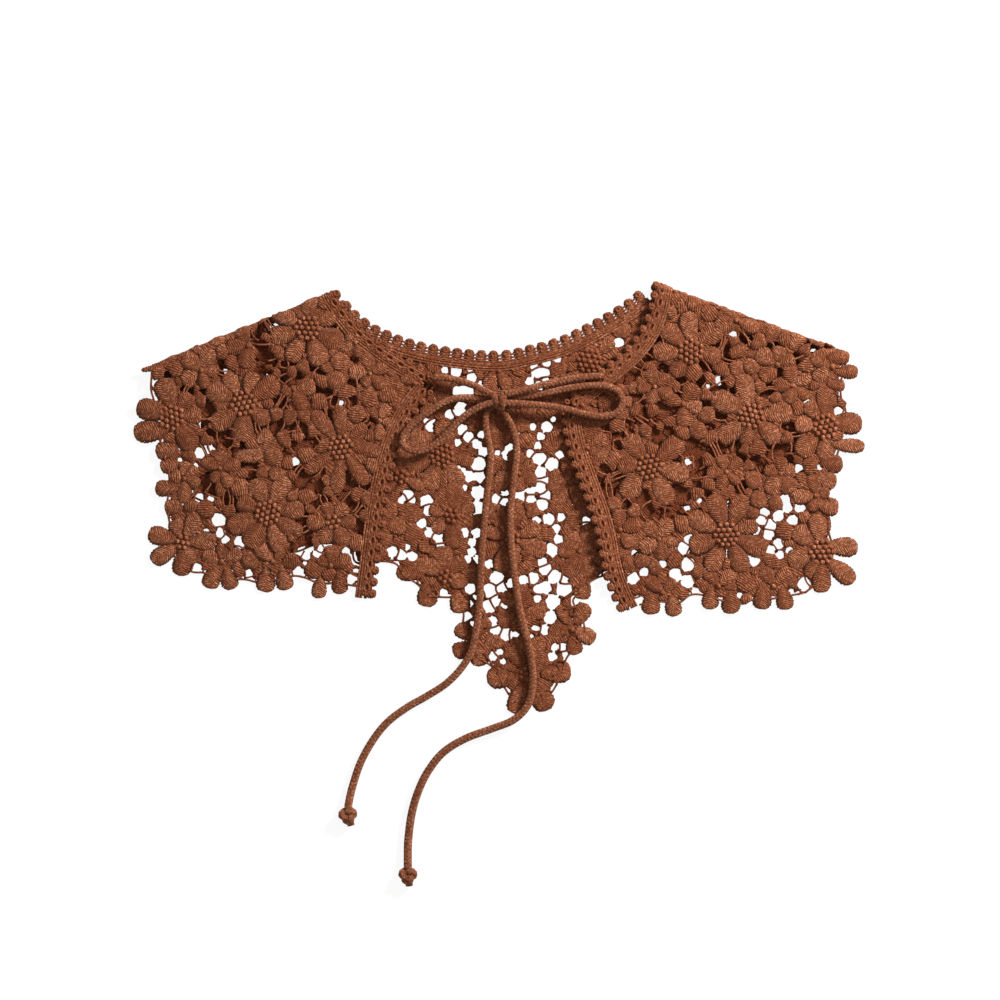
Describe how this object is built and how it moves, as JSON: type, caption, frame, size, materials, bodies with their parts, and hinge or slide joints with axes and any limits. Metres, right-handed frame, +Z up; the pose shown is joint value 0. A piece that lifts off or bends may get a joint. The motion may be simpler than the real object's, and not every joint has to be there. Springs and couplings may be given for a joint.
{
  "type": "capelet",
  "caption": "Flower-lace capelet with a pointed back hem, folded at both shoulders and laid flat, its picot-edged fronts joined by a knitted cord tied in a bow.",
  "frame": {"origin": "centre of the garment's outline, without its cord, on the surface that it lies on", "axes": "+X towards the right of the laid-out garment as seen from above, +Y towards the neck, +Z up from the surface"},
  "size_m": [0.4676, 0.3855, 0.0128],
  "materials": {
    "lace_back": "rust-brown cotton guipure lace, matt, in shade between the fronts",
    "lace_front": "rust-brown cotton guipure lace, matt",
    "trim": "rust-brown embroidered picot trim, matt",
    "cord": "rust-brown knitted cotton cord, matt"
  },
  "bodies": {
    "root": {"back_panel": "lace_back", "front_left_panel": "lace_front", "front_right_panel": "lace_front", "back_neck_trim": "trim", "front_left_neck_trim": "trim", "front_right_neck_trim": "trim", "front_left_edge_trim": "trim", "front_right_edge_trim": "trim", "string_left": "cord", "string_right": "cord", "bow_loop_left": "cord", "bow_loop_right": "cord", "bow_knot": "cord", "tail_left": "cord", "tail_right": "cord", "tail_knot_left": "cord", "tail_knot_right": "cord"}
  },
  "joints": []
}
